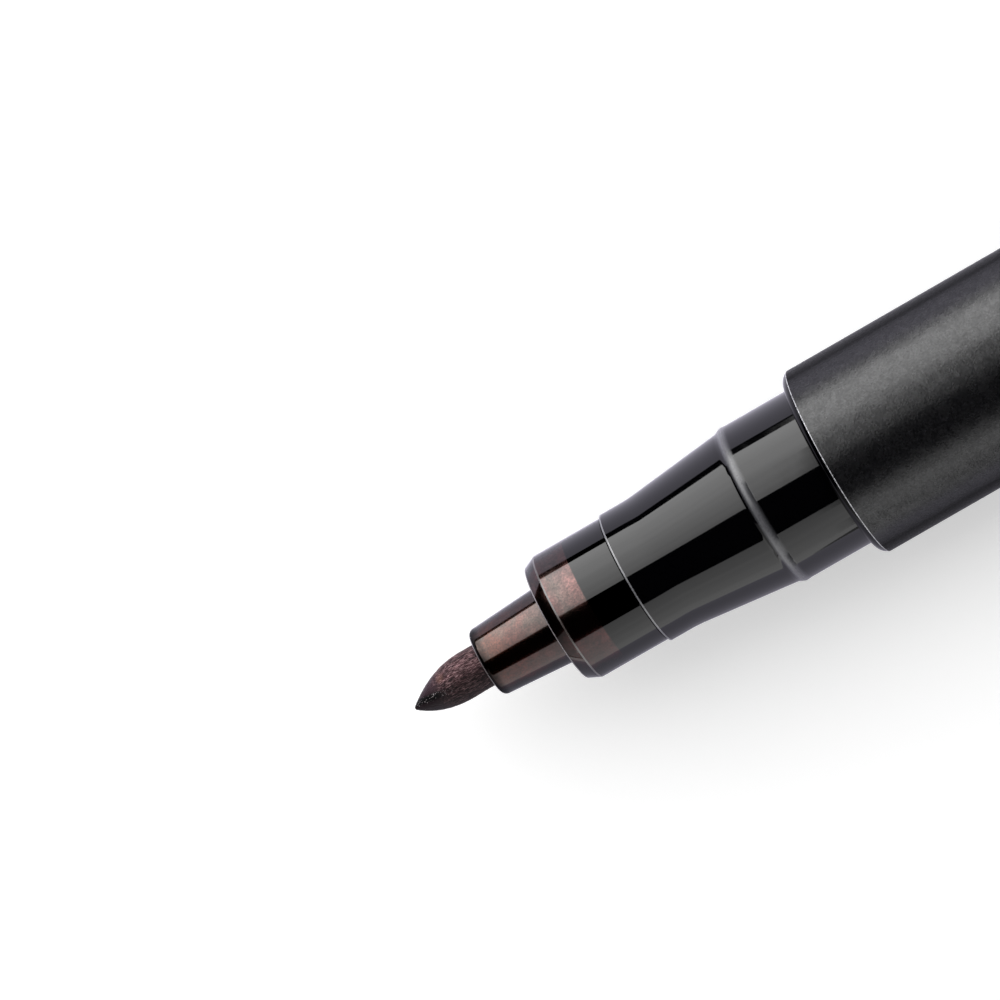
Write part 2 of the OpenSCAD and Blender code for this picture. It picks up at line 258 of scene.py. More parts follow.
def bondedPolyester(tip, wetEnd):
    # polyester fibres bonded into a felt point and soaked with ink: dull reddish brown with fine pale flecks
    # along the axis, and a wet shine near the tip, with painted shade along a crease and painted glints in it
    look = dict(
        # ink: colour of the painted crease shade; bead: colour of the painted glints
        tones={0.37: "#1c0b0e", 0.52: "#4e3337", 0.68: "#a88688"}, wet="#34222a", ink="#020102", bead="#c9bfc2",
        fibre=(0.34, 0.04), tuft=(0.8, 0.16),   # length and width of flecks, drawn coarser than real fibres
        tuftShade=(0.45, 1.25), wobble=0.22, bend=0.08, depth=0.02, wetDepth=0.3, rough=(0.6, 0.36), wetStart=0.5,
        crease=(0.07, -0.12), creaseHalf=(0.1, 0.26), creaseFades=0.6, creaseEnd=2.5,
        glintSize=0.07, glintSpan=(0.68, 0.76), sheen=0.09, sheenTint="#fff8fc",
        spot=(2.15, 0.5, 0.78), spotSize=0.4, spotMost=0.7, spotTone="#80594a",   # a paler warm-brown spot painted near the tip, on its upper side
        side=(-0.35, 0.5), sideShade=(0.34, 1.0))   # painted shade: the lower side is painted darker
    material, tree, where = newMaterial("bonded polyester fibre")
    smooth = dict(interpolation_type="SMOOTHSTEP")
    wobble = addNode(tree, "TexNoise", {"Vector": where, "Scale": per(look["wobble"]), "Detail": 1.0})
    bent = addNode(tree, "VectorMath", (wobble.outputs["Color"], (look["bend"] * mm,) * 3, where),
                   operation="MULTIPLY_ADD")
    place = addNode(tree, "SeparateXYZ", [bent]).outputs
    strands = []
    for (length, width), detail in ((look["fibre"], 2.0), (look["tuft"], 1.0)):
        stretched = addNode(tree, "Mapping", {"Vector": bent, "Scale": (per(length), per(width), per(width))})
        strands.append(addNode(tree, "TexNoise", {"Vector": stretched, "Scale": 1.0, "Detail": detail,
                                                  "Roughness": 0.55}))
    fibre, tuft = strands
    wetFrom = at(tip + look["wetStart"] * (wetEnd - tip))
    wet = addNode(tree, "MapRange", (place["X"], wetFrom, at(wetEnd), 1.0, 0.0), **smooth)
    tone = setStops(addNode(tree, "ValToRGB", [fibre]), {stop: linear(c) for stop, c in look["tones"].items()})
    shade = addNode(tree, "MapRange", (tuft, *noiseSpan, *look["tuftShade"]))
    dry = addNode(tree, "VectorMath", {0: tone, "Scale": shade}, operation="SCALE")
    mixed = addNode(tree, "Mix", {"Factor": wet, 6: dry, 7: linear(look["wet"])}, data_type="RGBA")
    low, high = look["side"]
    # painted shade: darker towards the lower side
    paintedSideShade = addNode(tree, "MapRange", (place["Y"], low * mm, high * mm, *look["sideShade"]), **smooth)
    sideShadedTone = addNode(tree, "VectorMath", {0: mixed, "Scale": paintedSideShade}, operation="SCALE")
    behind, aside, above = look["spot"]
    spot = addNode(tree, "VectorMath", (bent, (at(tip + behind), aside * mm, axisZ + above * mm)),
                   operation="DISTANCE")
    paleMark = addNode(tree, "MapRange", (spot, 0.0, look["spotSize"] * mm, look["spotMost"], 0.0), **smooth)
    sideShadedTone = addNode(tree, "Mix", {"Factor": paleMark, 6: sideShadedTone, 7: linear(look["spotTone"])}, data_type="RGBA")
    # a black line is painted aslant from the tip to the axis: painted shade of a crease that the mesh doesn't have
    start, slant = look["crease"]
    line = addNode(tree, "Math", (place["X"], -slant, place["Y"]), operation="MULTIPLY_ADD")
    offset = addNode(tree, "Math", (line, start * mm - slant * at(tip)), operation="SUBTRACT")
    apart = addNode(tree, "Math", [offset], operation="ABSOLUTE")
    low, high = look["creaseHalf"]
    creaseShadeLine = addNode(tree, "MapRange", (apart, low * mm, high * mm, 1.0, 0.0), **smooth)
    ends = addNode(tree, "MapRange", (place["X"], at(tip + look["creaseFades"] * look["creaseEnd"]),
                                      at(tip + look["creaseEnd"]), 1.0, 0.0))
    crease = addNode(tree, "Math", (creaseShadeLine, ends), operation="MULTIPLY")
    dark = addNode(tree, "Mix", {"Factor": crease, 6: sideShadedTone, 7: linear(look["ink"])}, data_type="RGBA")
    # painted glints: pale specks painted in the crease where the wet fibres would glint
    glintNoise = addNode(tree, "TexNoise", {"Vector": where, "Scale": per(look["glintSize"]), "Detail": 0.0})
    glintSpots = addNode(tree, "MapRange", (glintNoise, *look["glintSpan"]))
    paintedGlints = addNode(tree, "Math", (glintSpots, crease), operation="MULTIPLY")
    colour = addNode(tree, "Mix", {"Factor": paintedGlints, 6: dark, 7: linear(look["bead"])}, data_type="RGBA")
    rough = addNode(tree, "MapRange", (wet, 0.0, 1.0, *look["rough"]))
    lift = addNode(tree, "MapRange", (wet, 0.0, 1.0, 1.0, look["wetDepth"]))
    height = addNode(tree, "Math", (fibre, lift), operation="MULTIPLY")
    bump = addNode(tree, "Bump", {"Height": height, "Strength": 1.0, "Distance": look["depth"] * mm})
    shader = addNode(tree, "BsdfPrincipled", {
        "Base Color": colour, "Roughness": rough, "Normal": bump, "IOR": 1.45, "Specular IOR Level": 0.2,
        "Sheen Weight": look["sheen"], "Sheen Roughness": 0.4, "Sheen Tint": linear(look["sheenTint"])})
    addNode(tree, "OutputMaterial", [shader])
    return material


def plainFinish(name, grains, sockets={}, tones=None, depth=None, rough=None):
    # grains: (mm along the axis, mm across it, detail); the first gives the tones and the relief, the last the shine
    material, tree, where = newMaterial(name)
    noises = []
    for along, across, detail in grains:
        stretched = addNode(tree, "Mapping", {"Vector": where, "Scale": (per(along), per(across), per(across))})
        noises.append(addNode(tree, "TexNoise", {"Vector": stretched, "Scale": 1.0, "Detail": detail}))
    sockets = dict(sockets)
    if tones:
        sockets["Base Color"] = setStops(addNode(tree, "ValToRGB", noises[:1]), tones)
    if rough:
        sockets["Roughness"] = addNode(tree, "MapRange", (noises[-1], *noiseSpan, *rough))
    if depth:
        sockets["Normal"] = addNode(tree, "Bump", {"Height": noises[0], "Strength": 1.0, "Distance": depth * mm})
    shader = addNode(tree, "BsdfPrincipled", sockets)
    addNode(tree, "OutputMaterial", [shader])
    return material


def paintedEdgeHighlight(name, colour, contrast):
    # sharp moulded edge painted as a thin pale line: a painted highlight, broken into fine painted sparkles
    return plainFinish(
        name, [(0.12, 0.12, 3.0)], tones={0.3: linear(colour, 1 - contrast), 0.68: linear(colour, 1 + contrast)},
        sockets={"Roughness": 0.32, "IOR": 1.5, "Specular IOR Level": 1.0, "Coat Weight": 1.0, "Coat Roughness": 0.25})


grainedBlack = grainedPolypropylene()
polishedBlack = polishedStyrene("polished black styrene")
# acetal copolymer from a fine-blasted tool: even black satin with soft, wide highlights and faint handling marks
satinBlack = plainFinish(
    "satin black acetal", [(0.14, 0.14, 2.0), (3.0, 0.18, 3.0)], depth=0.004, rough=(0.26, 0.32),
    tones={0.35: linear("#060607"), 0.7: linear("#0c0c0e")}, sockets={"IOR": 1.48})
# unpigmented polyethylene: milky and waxy, light goes a little way in, with cloudy flow marks
milkyPlastic = plainFinish(
    "natural polyethylene", [(2.2, 2.2, 3.0)], rough=(0.3, 0.42),
    tones={0.35: linear("#bcbeb9"), 0.65: linear("#d5d6d1")},
    sockets={"IOR": 1.51, "Subsurface Weight": 0.4, "Subsurface Radius": (1.0, 1.0, 1.0),
             "Subsurface Scale": 0.6 * mm})
# bundled acetate fibre full of ink: near-black strands along the axis with a damp sheen
soakedFibre = plainFinish(
    "ink soaked acetate fibre", [(4.0, 0.12, 2.0)], depth=0.05, rough=(0.35, 0.6),
    tones={0.35: linear("#070608"), 0.7: linear("#2a2529")})
# thin polypropylene film rolled round the core: clear and shiny, with fine wrinkles along the roll
clearFilm = plainFinish(
    "clear polypropylene film", [(6.0, 0.5, 2.0)], depth=0.02, rough=(0.06, 0.16),
    sockets={"Base Color": linear("#dfe1e4"), "Transmission Weight": 1.0, "IOR": 1.49})
# the bottom of a narrow gap between two pieces, painted near-black: painted shade, with no shine and a little random
# tone
paintedGapShade = plainFinish(
    "dark gap", [(0.3, 0.3, 3.0)], tones={0.45: linear("#020202"), 0.75: linear("#0e0e0f")},
    sockets={"Roughness": 0.9, "Specular IOR Level": 0.05})
# pale lines painted on sharp edges: painted highlights
ringLine = paintedEdgeHighlight("moulded edge", "#68686c", 0.4)
rimLine = paintedEdgeHighlight("moulded rim", "#b8b8bc", 0.75)
smokeLine = paintedEdgeHighlight("smoke moulded edge", "#3c3431", 0.4)
lipLine = paintedEdgeHighlight("polished lip", "#857e80", 0.4)
print("materials ready")


# turned pieces: a ring of points, extruded along the axis and resized ring by ring
skin = 0.01                                     # mm, keeps the next wall's faces out of a choice by radius
past = 1.0                                      # mm by which a cutter stands out of what it cuts


def editOnly(piece, mode):
    pickOnly(piece)
    bpy.ops.object.mode_set(mode="EDIT")
    bpy.ops.mesh.select_mode(type=mode)
    bpy.ops.mesh.select_all(action="DESELECT")
    return bmesh.from_edit_mesh(piece.data)


def radiusAt(point):                            # distance from the pen's axis, in mm
    return sqrt(point.y ** 2 + (point.z - axisZ) ** 2) / mm


def closeMesh(fillEnds=False):                  # ends the editing of a mesh: no doubles, faces outwards
    bpy.ops.mesh.select_all(action="SELECT")
    bpy.ops.mesh.remove_doubles(threshold=1e-7)
    if fillEnds:
        bpy.ops.mesh.fill_holes(sides=0)
        bpy.ops.mesh.select_all(action="SELECT")
    bpy.ops.mesh.normals_make_consistent(inside=False)
    bpy.ops.object.mode_set(mode="OBJECT")


def applyModifier(piece, kind, **settings):
    pickOnly(piece)
    modifier = piece.modifiers.new(kind.lower(), kind)
    for name, value in settings.items():
        setattr(modifier, name, value)
    bpy.ops.object.modifier_apply(modifier=modifier.name)


def turnPiece(name, rings, materials, sides=144, closed=True):   # not closed: it gets two flat ends
    pickOnly()
    station, radius = rings[0]
    bpy.ops.mesh.primitive_circle_add(vertices=sides, radius=radius * mm, rotation=(0, pi / 2, 0),
                                      location=(at(station), 0, axisZ))
    piece = bpy.context.object
    piece.name = name
    bpy.ops.object.transform_apply(location=True, rotation=True, scale=True)
    editOnly(piece, "EDGE")
    bpy.ops.mesh.select_all(action="SELECT")
    for nextStation, nextRadius in rings[1:]:
        bpy.ops.mesh.extrude_region_move(
            TRANSFORM_OT_translate={"value": ((nextStation - station) * mm, 0, 0)})
        bpy.ops.transform.resize(value=(1, nextRadius / radius, nextRadius / radius),
                                 center_override=(at(nextStation), 0, axisZ))
        station, radius = nextStation, nextRadius
    closeMesh(fillEnds=not closed)
    for material in materials:
        piece.data.materials.append(material)
    return piece


def giveFinish(piece, finish):                  # to the faces that are selected
    piece.active_material_index = piece.data.materials.find(finish.name)
    bpy.ops.object.material_slot_assign()


def roundRing(piece, station, radius, size, steps, finish=None):   # rounds the edge that runs round the axis there
    near = 0.002                                # mm
    shape = editOnly(piece, "EDGE")
    for edge in shape.edges:
        edge.select = all(abs(v.co.x - at(station)) < near * mm and abs(radiusAt(v.co) - radius) < near
                          for v in edge.verts)
    found = sum(edge.select for edge in shape.edges)
    shape.select_flush_mode()
    bmesh.update_edit_mesh(piece.data)
    bpy.ops.mesh.bevel(offset=size * mm, segments=steps, profile=0.5, affect="EDGES")
    if finish:                                  # for the new faces
        giveFinish(piece, finish)
    bpy.ops.object.mode_set(mode="OBJECT")
    if not found:
        print("no edge found on", piece.name, station, radius)


def paintFaces(piece, finish, front, rear, low, high):   # the faces between two stations and two radii
    shape = editOnly(piece, "FACE")
    for face in shape.faces:
        middle = face.calc_center_median()
        face.select = at(front) <= middle.x <= at(rear) and low <= radiusAt(middle) <= high
    bmesh.update_edit_mesh(piece.data)
    giveFinish(piece, finish)
    bpy.ops.object.mode_set(mode="OBJECT")


def block(front, rear, side, low, high):        # box between two stations and two heights over the axis, as a cutter
    pickOnly()
    bpy.ops.mesh.primitive_cube_add(size=1.0, location=(at((front + rear) / 2), 0, axisZ + (low + high) / 2 * mm))
    made = bpy.context.object
    made.scale = ((rear - front) * mm, 2 * side * mm, (high - low) * mm)
    bpy.ops.object.transform_apply(location=True, rotation=True, scale=True)
    return made


def cutAway(piece, cutter):
    applyModifier(piece, "BOOLEAN", operation="DIFFERENCE", solver="EXACT", object=cutter)
    bpy.data.objects.remove(cutter)


def finishPiece(piece, body, slot, *nodes, smoothTo=35):
    pickOnly(piece)
    bpy.ops.object.shade_smooth_by_angle(angle=radians(smoothTo))
    applyModifier(piece, "WEIGHTED_NORMAL", keep_sharp=True)
    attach(piece, body)
    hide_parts(*nodes)
    print(piece.name, len(piece.data.polygons), "faces")


# grip section
section = dict(
    landR=3.83, flareFront=-10.85, flareBlend=8.0, flareSteps=8,
    seatFront=-4.55, seatR=4.62, seatStep=0.09,
    beadFront=-5.08, beadWidth=0.72, beadLift=0.03, beadSteep=1.4, beadSteps=18, beadEase=0.04,
    paleBand=(-4.92, -4.7, -4.62, -4.22),           # stations where the dulled ring with its painted highlight starts, is full and ends
    collarFront=-0.45, collarRear=-0.08, collarR=5.46, collarFoot=4.95, collarTurn=60, collarSteps=8,
    spigotR=4.53, spigotEnd=endsOf("grip_section")[1], reliefEnd=0.4, reliefR=4.33,
    socketR=3.22, nestR=3.59, lineFront=-12.53, lineWidth=0.1, lineEdge=0.04, collarShine=0.18,
)


def flareRings(s):                              # blend arc out of the land, flare, and the bead before the seat
    top = s["seatR"] - s["seatStep"]
    slope = atan((top - s["landR"]) / (s["seatFront"] - s["flareFront"]))
    reach = s["flareBlend"] * tan(slope / 2)
    rings = []
    for i in range(s["flareSteps"] + 1):
        angle = slope * i / s["flareSteps"]
        rings.append((s["flareFront"] - reach + s["flareBlend"] * sin(angle),
                      s["landR"] + s["flareBlend"] * (1 - cos(angle))))
    foot = top - (s["seatFront"] - s["beadFront"]) * tan(slope)
    rings.append((s["beadFront"] - s["beadEase"], foot - s["beadEase"] * tan(slope)))
    for i in range(s["beadSteps"] + 1):
        part = i / s["beadSteps"]
        rise = min(1.0, s["beadSteep"] * part)
        rise = rise * rise * (3 - 2 * rise)
        rings.append((s["beadFront"] + s["beadWidth"] * part,
                      foot + (s["seatR"] - foot) * rise + s["beadLift"] * sin(pi * part)))
    return rings


def collarRings(s):                             # steep curve that never turns quite level, so it mirrors the dark
    full = radians(s["collarTurn"])
    rings = []
    for i in range(s["collarSteps"] + 1):
        angle = full * i / s["collarSteps"]
        rings.append((s["collarFront"] + (s["collarRear"] - s["collarFront"]) * (1 - cos(angle)) / (1 - cos(full)),
                      s["collarFoot"] + (s["collarR"] - s["collarFoot"]) * sin(angle) / sin(full)))
    return rings


s = section
ringedBlack = polishedStyrene("polished black styrene, pale band", s["paleBand"])
collarBlack = polishedStyrene("unpolished black styrene", shine=s["collarShine"])
gripSection = turnPiece("gripSection", [
    (s["lineFront"], s["socketR"]), (s["lineFront"], s["landR"]), (s["lineFront"] + s["lineWidth"], s["landR"]),
    *flareRings(s),
    (s["beadFront"] + s["beadWidth"] + s["beadEase"], s["seatR"]), (s["collarFront"], s["seatR"]),
    *collarRings(s), (s["collarRear"], s["reliefR"]),
    (s["reliefEnd"], s["reliefR"]), (s["reliefEnd"], s["spigotR"]), (s["spigotEnd"], s["spigotR"]),
    (s["spigotEnd"], s["nestR"]), (s["seatFront"], s["nestR"]), (s["seatFront"], s["socketR"]),
    (s["lineFront"], s["socketR"])], [ringedBlack, ringLine, collarBlack])
# the land's front edge and a strip of the land behind it are painted pale: a painted highlight
roundRing(gripSection, s["lineFront"], s["landR"], s["lineEdge"], steps=2, finish=ringLine)
paintFaces(gripSection, ringLine, s["lineFront"], s["lineFront"] + s["lineWidth"],
           s["landR"] - s["lineEdge"], s["landR"])
paintFaces(gripSection, collarBlack, s["collarFront"], s["collarRear"], s["seatR"] + skin, s["collarR"])
finishPiece(gripSection, "pen", "section_plastic", "grip_section")


# nib holder
holder = dict(
    mouth=endsOf("nib_holder")[0], mouthR=1.95, mouthRound=(0.33, 0.32), mouthSteps=12, rootR=2.25, boreR=1.23,
    lip=0.06, lipDepth=0.06, lipR=(1.64, 1.85),   # ring of the rounding painted pale: a painted highlight
    face=-17.4, faceR=3.355, chamferEnd=-16.68, shoulderR=3.685, solidEnd=-14.9,
    rear=s["lineFront"], grooveR=3.58, grooveWidth=0.07, plugR=3.2, plugEnd=endsOf("nib_holder")[1], hollowR=2.6,
    lineWidth=0.05, rimWidth=0.07, ventSide=0.25, ventR=1.48,
)


def mouthRings(h):                              # rounding of the nozzle's mouth, on its slanted flank
    along, across = h["mouthRound"]
    rings = []
    for i in range(h["mouthSteps"] + 1):
        angle = pi / 2 * i / h["mouthSteps"]
        station = h["mouth"] + along * (1 - cos(angle))
        widening = (h["rootR"] - h["mouthR"]) * (station - h["mouth"]) / (h["face"] - h["mouth"])
        rings.append((station, h["mouthR"] - across * (1 - sin(angle)) + widening))
    return rings


h = holder
nibHolder = turnPiece("nibHolder", [
    (h["mouth"], h["boreR"]), *mouthRings(h), (h["face"], h["rootR"]), (h["face"], h["faceR"]),
    (h["chamferEnd"], h["shoulderR"]), (h["rear"] - h["grooveWidth"], h["shoulderR"]),
    (h["rear"] - h["grooveWidth"], h["grooveR"]), (h["rear"], h["grooveR"]), (h["rear"], h["plugR"]),
    (h["plugEnd"], h["plugR"]), (h["plugEnd"], h["hollowR"]), (h["solidEnd"], h["hollowR"]),
    (h["solidEnd"], h["boreR"]), (h["mouth"], h["boreR"])],
    [smokeStyrene(h["mouth"], h["solidEnd"]), smokeLine, paintedGapShade, lipLine])
# the mouth's lip, the face's edge and the chamfer's edge are painted pale: painted highlights
roundRing(nibHolder, h["mouth"], h["boreR"], h["lip"], steps=2, finish=lipLine)
roundRing(nibHolder, h["face"], h["faceR"], h["rimWidth"], steps=3, finish=lipLine)
roundRing(nibHolder, h["chamferEnd"], h["shoulderR"], h["lineWidth"], steps=3, finish=smokeLine)
paintFaces(nibHolder, lipLine, h["mouth"], h["mouth"] + h["lipDepth"], *h["lipR"])
# the groove's faces take the painted gap shade
paintFaces(nibHolder, paintedGapShade, h["rear"] - h["grooveWidth"], h["rear"], h["plugR"], h["shoulderR"] - skin)
for side, high in ((h["ventSide"], h["ventR"]), (h["ventR"], h["ventSide"])):
    cutAway(nibHolder, block(h["mouth"] - past, h["solidEnd"], side, -high, high))   # air channels round the nib
finishPiece(nibHolder, "pen", "smoke_plastic", "nib_holder")


# brush nib: straight fibre rod with a pointed arch at its front end
point = dict(
    tip=endsOf("brush_nib")[0], rear=endsOf("brush_nib")[1], rodR=1.21, radius=1.235, flank=5.17, tipRound=0.15,
    tail=4.0, tailR=0.6, ringStep=0.06, rings=19, steps=56, tipSteps=5, tipOpen=0.2, wetEnd=-23.9,
    relief=0.03, reliefLevel=0.6,               # more of the relief goes in than out
    reliefFrom=0.05, fibre=(0.3, 0.05), droop=0.2, droopReach=4.0,
)


def archRings(p):                               # rings of the pointed arch, from the rod to the rounded tip
    middle = p["tip"] + p["tipRound"]
    base = middle + sqrt((p["flank"] - p["tipRound"]) ** 2 - (p["flank"] - p["radius"]) ** 2)
    swing = atan((base - middle) / (p["flank"] - p["radius"]))
    rings = []
    for i in range(p["steps"] + 1):
        angle = swing * i / p["steps"]
        rings.append((base - p["flank"] * sin(angle), p["radius"] - p["flank"] * (1 - cos(angle))))
    for i in range(1, p["tipSteps"] + 1):
        angle = swing + (pi / 2 - swing) * i / (p["tipSteps"] + p["tipOpen"])
        rings.append((middle - p["tipRound"] * sin(angle), p["tipRound"] * cos(angle)))
    return rings


def roughenFibres(piece, p):                    # in front of the holder's mouth the fibres stand out a little
    pickOnly()
    bpy.ops.object.empty_add(location=(at(p["tip"]), 0, axisZ))
    lay = bpy.context.object
    lay.scale = (p["fibre"][0] * mm, p["fibre"][1] * mm, p["fibre"][1] * mm)
    bpy.context.view_layer.update()
    outside = piece.vertex_groups.new(name="outside")
    outside.add([v.index for v in piece.data.vertices if v.co.x < at(h["mouth"] - p["reliefFrom"])], 1.0, "REPLACE")
    strands = bpy.data.textures.new("fibreStrands", "CLOUDS")
    strands.noise_scale = 1.0
    strands.noise_depth = 1
    applyModifier(piece, "DISPLACE", texture=strands, texture_coords="OBJECT", texture_coords_object=lay,
                  vertex_group=outside.name, mid_level=p["reliefLevel"], strength=p["relief"] * mm)
    bpy.data.objects.remove(lay)


p = point
brushNib = turnPiece("brushNib", [
    (p["rear"], p["tailR"]), (p["rear"] - p["tail"], p["rodR"]), (h["mouth"] + p["ringStep"], p["rodR"]),
    *[(h["mouth"] - p["ringStep"] * i, p["radius"]) for i in range(1, p["rings"] + 1)], *archRings(p)],
    [bondedPolyester(p["tip"], p["wetEnd"])], sides=240, closed=False)
roughenFibres(brushNib, p)
shape = editOnly(brushNib, "VERT")              # the tip has bent a little to one side in use
for vertex in shape.verts:
    vertex.select = vertex.co.x < at(p["tip"] + p["tipRound"])
shape.select_flush_mode()
bmesh.update_edit_mesh(brushNib.data)
bpy.ops.transform.translate(value=(0, -p["droop"] * mm, 0), use_proportional_edit=True,
                            proportional_edit_falloff="SMOOTH", proportional_size=p["droopReach"] * mm)
bpy.ops.object.mode_set(mode="OBJECT")
finishPiece(brushNib, "pen", "nib_fibre", "brush_nib", smoothTo=60)


# barrel, with ribs inside that centre the reservoir
tube = dict(
    front=-0.07, rear=endsOf("barrel")[1], boreR=4.55, rim=0.06, rearRound=0.25,
    ribs=6, ribHalf=5.1, ribInR=3.59, ribFront=9.02, ribRear=83.98,   # ribHalf: degrees to each side of a rib's middle
)
t = tube
barrelTube = turnPiece("barrelTube", [
    (t["front"], t["boreR"]), (t["front"], barrelR), (t["rear"], barrelR), (t["rear"], t["boreR"]),
    (t["ribRear"], t["boreR"]), (t["ribFront"], t["boreR"]), (t["front"], t["boreR"])],
    [grainedBlack, rimLine])
# the front rim is painted as a pale line: a painted highlight
roundRing(barrelTube, t["front"], barrelR, t["rim"], steps=3, finish=rimLine)
roundRing(barrelTube, t["rear"], barrelR, t["rearRound"], steps=4)
shape = editOnly(barrelTube, "FACE")
step = 360 / t["ribs"]
for face in shape.faces:
    middle = face.calc_center_median()
    angle = degrees(atan2(middle.y, middle.z - axisZ)) % step
    face.select = (radiusAt(middle) < t["boreR"] + skin and at(t["ribFront"]) < middle.x < at(t["ribRear"])
                   and abs(angle - step / 2) < t["ribHalf"])
bmesh.update_edit_mesh(barrelTube.data)
bpy.ops.mesh.extrude_region_move()
inward = t["ribInR"] / t["boreR"]
bpy.ops.transform.resize(value=(1, inward, inward), center_override=(at(0), 0, axisZ))
bpy.ops.object.mode_set(mode="OBJECT")
finishPiece(barrelTube, "pen", "barrel_plastic", "barrel")


# end plug: a hollow spigot in the barrel and the post that carries the cap
plug = dict(
    front=endsOf("end_plug")[0], rear=endsOf("end_plug")[1], shoulder=endsOf("barrel")[1], spigotR=4.53, postR=4.47,
    hollowR=3.57, floor=103.1, endRound=0.8, lead=0.06, dishR=2.6, dishDepth=0.12, gateR=0.7, gateHeight=0.06,
    gateTaper=0.05,
)
e = plug
dishFloor = e["rear"] - e["dishDepth"]
endPlug = turnPiece("endPlug", [
    (e["floor"], e["hollowR"]), (e["front"], e["hollowR"]), (e["front"], e["spigotR"]), (e["shoulder"], e["spigotR"]),
    (e["shoulder"], e["postR"]), (e["rear"], e["postR"]), (e["rear"], e["dishR"]),
    (dishFloor, e["dishR"] - e["dishDepth"]), (dishFloor, e["gateR"]),
    (dishFloor + e["gateHeight"], e["gateR"] - e["gateTaper"])], [satinBlack], closed=False)
roundRing(endPlug, e["rear"], e["postR"], e["endRound"], steps=6)
roundRing(endPlug, e["front"], e["spigotR"], e["lead"], steps=2)
finishPiece(endPlug, "pen", "plug_plastic", "end_plug")


# cap shell
shell = dict(
    front=endsOf("cap_shell")[0], rear=endsOf("cap_shell")[1], boreR=4.68, boreEnd=126.18, rimRound=0.25,
    endRound=0.7, beadAt=96.8, beadR=0.3, beadLift=0.15, beadSteps=8, recess=127.58, recessR=4.32, recessEdge=0.08,
    stemR=1.52, slotSide=2.12,
)
c = shell
beadHeight = c["beadR"] - c["beadLift"]         # how far the snap bead's centre lies behind the bore's wall
beadHalf = atan2(sqrt(c["beadR"] ** 2 - beadHeight ** 2), beadHeight)
beadRings = []
for i in range(c["beadSteps"] + 1):
    angle = beadHalf * (1 - 2 * i / c["beadSteps"])
    beadRings.append((c["beadAt"] + c["beadR"] * sin(angle), c["boreR"] + beadHeight - c["beadR"] * cos(angle)))
capShell = turnPiece("capShell", [
    (c["front"], c["boreR"]), (c["front"], barrelR), (c["rear"], barrelR), (c["rear"], c["recessR"]),
    (c["recess"], c["recessR"]), (c["recess"], c["stemR"]), (c["boreEnd"], c["stemR"]), (c["boreEnd"], c["boreR"]),
    *beadRings, (c["front"], c["boreR"])], [grainedBlack])
roundRing(capShell, c["front"], barrelR, c["rimRound"], steps=4)
roundRing(capShell, c["rear"], barrelR, c["endRound"], steps=6)
roundRing(capShell, c["rear"], c["recessR"], c["recessEdge"], steps=2)
cutAway(capShell, block(c["recess"], c["rear"] + past, c["slotSide"], 0, barrelR + past))
finishPiece(capShell, "cap", "cap_plastic", "cap_shell")


# cap liner: seals round the nib holder when the cap is on the point
liner = dict(
    front=endsOf("cap_liner")[0], rear=endsOf("cap_liner")[1], flangeR=4.66, flangeEnd=107.5, outR=4.205,
    sealR=3.705, sealEnd=110.0, chamberR=3.1, chamberEnd=120.6, wallEnd=121.1, stemOutR=2.02, stemR=1.52,
    stemFloor=123.16, lead=0.25, corner=0.3,
)
n = liner
capLiner = turnPiece("capLiner", [
    (n["chamberEnd"], n["chamberR"]), (n["sealEnd"], n["chamberR"]), (n["sealEnd"], n["sealR"]),
    (n["front"], n["sealR"]), (n["front"], n["flangeR"]), (n["flangeEnd"], n["flangeR"]), (n["flangeEnd"], n["outR"]),
    (n["wallEnd"], n["outR"]), (n["wallEnd"], n["stemOutR"]), (n["rear"], n["stemOutR"]), (n["rear"], n["stemR"]),
    (n["stemFloor"], n["stemR"])], [milkyPlastic], closed=False)
roundRing(capLiner, n["front"], n["sealR"], n["lead"], steps=3)
roundRing(capLiner, n["wallEnd"], n["outR"], n["corner"], steps=3)
finishPiece(capLiner, "cap", "liner_plastic", "cap_liner")


# cap clip: a tongue in the cap's end, bent over and run along the cap to a bump that grips
clip = dict(
    root=127.58, thick=0.9, rootHalf=2.1, tipHalf=1.7, tongueLow=-2.42, tongueHigh=6.1, bend=1.6, bendSteps=8,
    tip=endsOf("cap_clip")[0], armSteps=6, bumpR=1.3, bumpHeight=6.95, bumpSteps=9,
    bumpArc=(0.04, 0.9),                        # half turns where the bump's arc starts, and that it runs
    stemR=1.52, stemCut=10, edge=0.14, edgeFrom=50,   # edgeFrom: degrees from which an edge is softened
)
k = clip
rootFace = k["root"] + k["thick"]               # outer face of the tongue, where the clip's length starts
armTop = k["tongueHigh"] + k["bend"]
bendAt = rootFace - k["bend"]
bumpAt = k["tip"] + k["bumpR"]


def halfWidth(station):                         # the clip narrows evenly to its tip
    return k["tipHalf"] + (k["rootHalf"] - k["tipHalf"]) * min(1.0, (station - k["tip"]) / (k["root"] - k["tip"]))


pickOnly()
bpy.ops.mesh.primitive_plane_add(size=1.0, location=(at(k["root"] + k["thick"] / 2), 0, axisZ + k["tongueLow"] * mm))
capClip = bpy.context.object
capClip.name = "capClip"
capClip.scale = (k["thick"] * mm, 2 * k["rootHalf"] * mm, 1)
bpy.ops.object.transform_apply(location=True, rotation=True, scale=True)
bpy.ops.object.mode_set(mode="EDIT")
bpy.ops.mesh.select_all(action="SELECT")
bpy.ops.mesh.extrude_region_move(
    TRANSFORM_OT_translate={"value": (0, 0, (k["tongueHigh"] - k["tongueLow"]) * mm)})
bpy.ops.mesh.spin(steps=k["bendSteps"], angle=radians(90), axis=(0, 1, 0),
                  center=(at(bendAt), 0, axisZ + k["tongueHigh"] * mm))
last, top, bottom = bendAt, armTop, armTop - k["thick"]
armLength = bendAt - bumpAt - k["bumpR"]
